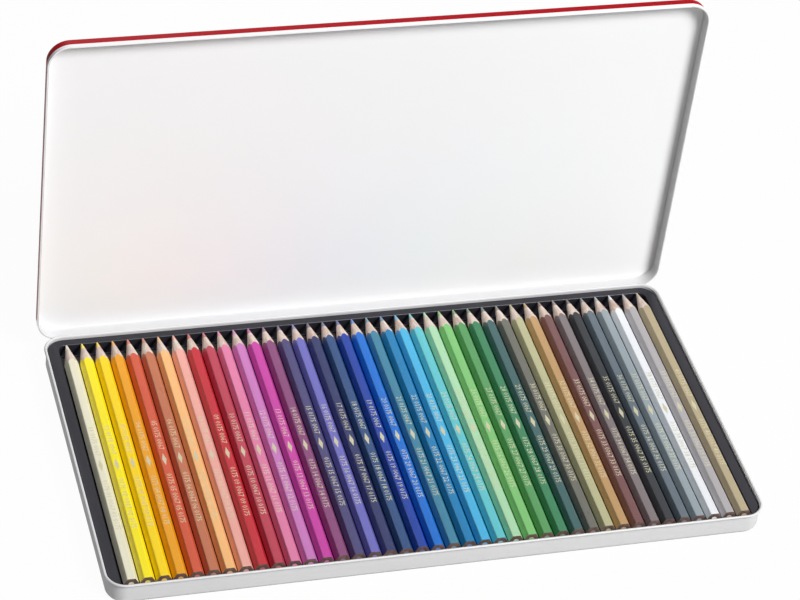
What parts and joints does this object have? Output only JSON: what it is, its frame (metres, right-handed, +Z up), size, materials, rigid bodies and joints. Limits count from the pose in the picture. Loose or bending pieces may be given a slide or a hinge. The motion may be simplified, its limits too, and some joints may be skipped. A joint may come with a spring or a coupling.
{
  "type": "watercolor pencil set",
  "caption": "Flat pressed-metal tin with a hinged lid, standing open, and a black tray that holds a row of hexagonal watercolor pencils, each of which lifts out.",
  "frame": {"origin": "middle of the flat underside of the tin base, on the surface it stands on", "axes": "+X along the long side of the tin, to the right seen from the front; +Y to the hinged back; +Z up"},
  "size_m": [0.3414, 0.1924, 0.1956],
  "materials": {
    "base_metal": "satin tin plate",
    "lid_metal": "satin lacquer, white inside and red outside",
    "tray_plastic": "satin black",
    "hinge_steel": "satin",
    "lacquer_ivory": "gloss lacquer over wood",
    "lacquer_lemon": "gloss lacquer over wood",
    "lacquer_golden_yellow": "gloss lacquer over wood",
    "lacquer_orange": "gloss lacquer over wood",
    "lacquer_vermilion": "gloss lacquer over wood",
    "lacquer_russet": "gloss lacquer over wood",
    "lacquer_apricot": "gloss lacquer over wood",
    "lacquer_salmon": "gloss lacquer over wood",
    "lacquer_scarlet": "gloss lacquer over wood",
    "lacquer_crimson": "gloss lacquer over wood",
    "lacquer_pink": "gloss lacquer over wood",
    "lacquer_lilac": "gloss lacquer over wood",
    "lacquer_magenta": "gloss lacquer over wood",
    "lacquer_plum": "gloss lacquer over wood",
    "lacquer_slate_violet": "gloss lacquer over wood",
    "lacquer_periwinkle": "gloss lacquer over wood",
    "lacquer_indigo": "gloss lacquer over wood",
    "lacquer_prussian": "gloss lacquer over wood",
    "lacquer_ultramarine": "gloss lacquer over wood",
    "lacquer_cobalt": "gloss lacquer over wood",
    "lacquer_dark_teal": "gloss lacquer over wood",
    "lacquer_cerulean": "gloss lacquer over wood",
    "lacquer_sky_blue": "gloss lacquer over wood",
    "lacquer_turquoise": "gloss lacquer over wood",
    "lacquer_pale_mint": "gloss lacquer over wood",
    "lacquer_grass_green": "gloss lacquer over wood",
    "lacquer_mid_green": "gloss lacquer over wood",
    "lacquer_emerald": "gloss lacquer over wood",
    "lacquer_slate_green": "gloss lacquer over wood",
    "lacquer_olive_grey": "gloss lacquer over wood",
    "lacquer_khaki": "gloss lacquer over wood",
    "lacquer_ochre": "gloss lacquer over wood",
    "lacquer_burgundy": "gloss lacquer over wood",
    "lacquer_taupe": "gloss lacquer over wood",
    "lacquer_black": "gloss lacquer over wood",
    "lacquer_blue_grey": "gloss lacquer over wood",
    "lacquer_grey_blue": "gloss lacquer over wood",
    "lacquer_white": "gloss lacquer over wood",
    "lacquer_silver": "gloss lacquer over wood",
    "lacquer_gold": "gloss lacquer over wood"
  },
  "bodies": {
    "base": {"tin_base": "base_metal", "tray": "tray_plastic", "hinge_base_leaf_left": "hinge_steel", "hinge_pin_left": "hinge_steel", "hinge_base_leaf_right": "hinge_steel", "hinge_pin_right": "hinge_steel"},
    "lid": {"tin_lid": "lid_metal", "hinge_lid_leaf_left": "hinge_steel", "hinge_lid_leaf_right": "hinge_steel"},
    "pencil_01_ivory": {"pencil_01_ivory": "lacquer_ivory"},
    "pencil_02_lemon": {"pencil_02_lemon": "lacquer_lemon"},
    "pencil_03_golden_yellow": {"pencil_03_golden_yellow": "lacquer_golden_yellow"},
    "pencil_04_orange": {"pencil_04_orange": "lacquer_orange"},
    "pencil_05_vermilion": {"pencil_05_vermilion": "lacquer_vermilion"},
    "pencil_06_russet": {"pencil_06_russet": "lacquer_russet"},
    "pencil_07_apricot": {"pencil_07_apricot": "lacquer_apricot"},
    "pencil_08_salmon": {"pencil_08_salmon": "lacquer_salmon"},
    "pencil_09_scarlet": {"pencil_09_scarlet": "lacquer_scarlet"},
    "pencil_10_crimson": {"pencil_10_crimson": "lacquer_crimson"},
    "pencil_11_pink": {"pencil_11_pink": "lacquer_pink"},
    "pencil_12_lilac": {"pencil_12_lilac": "lacquer_lilac"},
    "pencil_13_magenta": {"pencil_13_magenta": "lacquer_magenta"},
    "pencil_14_plum": {"pencil_14_plum": "lacquer_plum"},
    "pencil_15_slate_violet": {"pencil_15_slate_violet": "lacquer_slate_violet"},
    "pencil_16_periwinkle": {"pencil_16_periwinkle": "lacquer_periwinkle"},
    "pencil_17_indigo": {"pencil_17_indigo": "lacquer_indigo"},
    "pencil_18_prussian": {"pencil_18_prussian": "lacquer_prussian"},
    "pencil_19_ultramarine": {"pencil_19_ultramarine": "lacquer_ultramarine"},
    "pencil_20_cobalt": {"pencil_20_cobalt": "lacquer_cobalt"},
    "pencil_21_dark_teal": {"pencil_21_dark_teal": "lacquer_dark_teal"},
    "pencil_22_cerulean": {"pencil_22_cerulean": "lacquer_cerulean"},
    "pencil_23_sky_blue": {"pencil_23_sky_blue": "lacquer_sky_blue"},
    "pencil_24_turquoise": {"pencil_24_turquoise": "lacquer_turquoise"},
    "pencil_25_pale_mint": {"pencil_25_pale_mint": "lacquer_pale_mint"},
    "pencil_26_grass_green": {"pencil_26_grass_green": "lacquer_grass_green"},
    "pencil_27_mid_green": {"pencil_27_mid_green": "lacquer_mid_green"},
    "pencil_28_emerald": {"pencil_28_emerald": "lacquer_emerald"},
    "pencil_29_slate_green": {"pencil_29_slate_green": "lacquer_slate_green"},
    "pencil_30_olive_grey": {"pencil_30_olive_grey": "lacquer_olive_grey"},
    "pencil_31_khaki": {"pencil_31_khaki": "lacquer_khaki"},
    "pencil_32_ochre": {"pencil_32_ochre": "lacquer_ochre"},
    "pencil_33_burgundy": {"pencil_33_burgundy": "lacquer_burgundy"},
    "pencil_34_taupe": {"pencil_34_taupe": "lacquer_taupe"},
    "pencil_35_black": {"pencil_35_black": "lacquer_black"},
    "pencil_36_blue_grey": {"pencil_36_blue_grey": "lacquer_blue_grey"},
    "pencil_37_grey_blue": {"pencil_37_grey_blue": "lacquer_grey_blue"},
    "pencil_38_white": {"pencil_38_white": "lacquer_white"},
    "pencil_39_silver": {"pencil_39_silver": "lacquer_silver"},
    "pencil_40_gold": {"pencil_40_gold": "lacquer_gold"}
  },
  "joints": [
    {"name": "lid_hinge", "type": "hinge", "parent": "base", "child": "lid", "pos_m": [0, 0.0929, 0.0098], "axis": [-1, 0, 0], "range_deg": [-90, 0]},
    {"name": "pencil_01_ivory_lift", "type": "slide", "parent": "base", "child": "pencil_01_ivory", "axis": [0, 0, 1], "range_m": [0, 0.03]},
    {"name": "pencil_02_lemon_lift", "type": "slide", "parent": "base", "child": "pencil_02_lemon", "axis": [0, 0, 1], "range_m": [0, 0.03]},
    {"name": "pencil_03_golden_yellow_lift", "type": "slide", "parent": "base", "child": "pencil_03_golden_yellow", "axis": [0, 0, 1], "range_m": [0, 0.03]},
    {"name": "pencil_04_orange_lift", "type": "slide", "parent": "base", "child": "pencil_04_orange", "axis": [0, 0, 1], "range_m": [0, 0.03]},
    {"name": "pencil_05_vermilion_lift", "type": "slide", "parent": "base", "child": "pencil_05_vermilion", "axis": [0, 0, 1], "range_m": [0, 0.03]},
    {"name": "pencil_06_russet_lift", "type": "slide", "parent": "base", "child": "pencil_06_russet", "axis": [0, 0, 1], "range_m": [0, 0.03]},
    {"name": "pencil_07_apricot_lift", "type": "slide", "parent": "base", "child": "pencil_07_apricot", "axis": [0, 0, 1], "range_m": [0, 0.03]},
    {"name": "pencil_08_salmon_lift", "type": "slide", "parent": "base", "child": "pencil_08_salmon", "axis": [0, 0, 1], "range_m": [0, 0.03]},
    {"name": "pencil_09_scarlet_lift", "type": "slide", "parent": "base", "child": "pencil_09_scarlet", "axis": [0, 0, 1], "range_m": [0, 0.03]},
    {"name": "pencil_10_crimson_lift", "type": "slide", "parent": "base", "child": "pencil_10_crimson", "axis": [0, 0, 1], "range_m": [0, 0.03]},
    {"name": "pencil_11_pink_lift", "type": "slide", "parent": "base", "child": "pencil_11_pink", "axis": [0, 0, 1], "range_m": [0, 0.03]},
    {"name": "pencil_12_lilac_lift", "type": "slide", "parent": "base", "child": "pencil_12_lilac", "axis": [0, 0, 1], "range_m": [0, 0.03]},
    {"name": "pencil_13_magenta_lift", "type": "slide", "parent": "base", "child": "pencil_13_magenta", "axis": [0, 0, 1], "range_m": [0, 0.03]},
    {"name": "pencil_14_plum_lift", "type": "slide", "parent": "base", "child": "pencil_14_plum", "axis": [0, 0, 1], "range_m": [0, 0.03]},
    {"name": "pencil_15_slate_violet_lift", "type": "slide", "parent": "base", "child": "pencil_15_slate_violet", "axis": [0, 0, 1], "range_m": [0, 0.03]},
    {"name": "pencil_16_periwinkle_lift", "type": "slide", "parent": "base", "child": "pencil_16_periwinkle", "axis": [0, 0, 1], "range_m": [0, 0.03]},
    {"name": "pencil_17_indigo_lift", "type": "slide", "parent": "base", "child": "pencil_17_indigo", "axis": [0, 0, 1], "range_m": [0, 0.03]},
    {"name": "pencil_18_prussian_lift", "type": "slide", "parent": "base", "child": "pencil_18_prussian", "axis": [0, 0, 1], "range_m": [0, 0.03]},
    {"name": "pencil_19_ultramarine_lift", "type": "slide", "parent": "base", "child": "pencil_19_ultramarine", "axis": [0, 0, 1], "range_m": [0, 0.03]},
    {"name": "pencil_20_cobalt_lift", "type": "slide", "parent": "base", "child": "pencil_20_cobalt", "axis": [0, 0, 1], "range_m": [0, 0.03]},
    {"name": "pencil_21_dark_teal_lift", "type": "slide", "parent": "base", "child": "pencil_21_dark_teal", "axis": [0, 0, 1], "range_m": [0, 0.03]},
    {"name": "pencil_22_cerulean_lift", "type": "slide", "parent": "base", "child": "pencil_22_cerulean", "axis": [0, 0, 1], "range_m": [0, 0.03]},
    {"name": "pencil_23_sky_blue_lift", "type": "slide", "parent": "base", "child": "pencil_23_sky_blue", "axis": [0, 0, 1], "range_m": [0, 0.03]},
    {"name": "pencil_24_turquoise_lift", "type": "slide", "parent": "base", "child": "pencil_24_turquoise", "axis": [0, 0, 1], "range_m": [0, 0.03]},
    {"name": "pencil_25_pale_mint_lift", "type": "slide", "parent": "base", "child": "pencil_25_pale_mint", "axis": [0, 0, 1], "range_m": [0, 0.03]},
    {"name": "pencil_26_grass_green_lift", "type": "slide", "parent": "base", "child": "pencil_26_grass_green", "axis": [0, 0, 1], "range_m": [0, 0.03]},
    {"name": "pencil_27_mid_green_lift", "type": "slide", "parent": "base", "child": "pencil_27_mid_green", "axis": [0, 0, 1], "range_m": [0, 0.03]},
    {"name": "pencil_28_emerald_lift", "type": "slide", "parent": "base", "child": "pencil_28_emerald", "axis": [0, 0, 1], "range_m": [0, 0.03]},
    {"name": "pencil_29_slate_green_lift", "type": "slide", "parent": "base", "child": "pencil_29_slate_green", "axis": [0, 0, 1], "range_m": [0, 0.03]},
    {"name": "pencil_30_olive_grey_lift", "type": "slide", "parent": "base", "child": "pencil_30_olive_grey", "axis": [0, 0, 1], "range_m": [0, 0.03]},
    {"name": "pencil_31_khaki_lift", "type": "slide", "parent": "base", "child": "pencil_31_khaki", "axis": [0, 0, 1], "range_m": [0, 0.03]},
    {"name": "pencil_32_ochre_lift", "type": "slide", "parent": "base", "child": "pencil_32_ochre", "axis": [0, 0, 1], "range_m": [0, 0.03]},
    {"name": "pencil_33_burgundy_lift", "type": "slide", "parent": "base", "child": "pencil_33_burgundy", "axis": [0, 0, 1], "range_m": [0, 0.03]},
    {"name": "pencil_34_taupe_lift", "type": "slide", "parent": "base", "child": "pencil_34_taupe", "axis": [0, 0, 1], "range_m": [0, 0.03]},
    {"name": "pencil_35_black_lift", "type": "slide", "parent": "base", "child": "pencil_35_black", "axis": [0, 0, 1], "range_m": [0, 0.03]},
    {"name": "pencil_36_blue_grey_lift", "type": "slide", "parent": "base", "child": "pencil_36_blue_grey", "axis": [0, 0, 1], "range_m": [0, 0.03]},
    {"name": "pencil_37_grey_blue_lift", "type": "slide", "parent": "base", "child": "pencil_37_grey_blue", "axis": [0, 0, 1], "range_m": [0, 0.03]},
    {"name": "pencil_38_white_lift", "type": "slide", "parent": "base", "child": "pencil_38_white", "axis": [0, 0, 1], "range_m": [0, 0.03]},
    {"name": "pencil_39_silver_lift", "type": "slide", "parent": "base", "child": "pencil_39_silver", "axis": [0, 0, 1], "range_m": [0, 0.03]},
    {"name": "pencil_40_gold_lift", "type": "slide", "parent": "base", "child": "pencil_40_gold", "axis": [0, 0, 1], "range_m": [0, 0.03]}
  ]
}
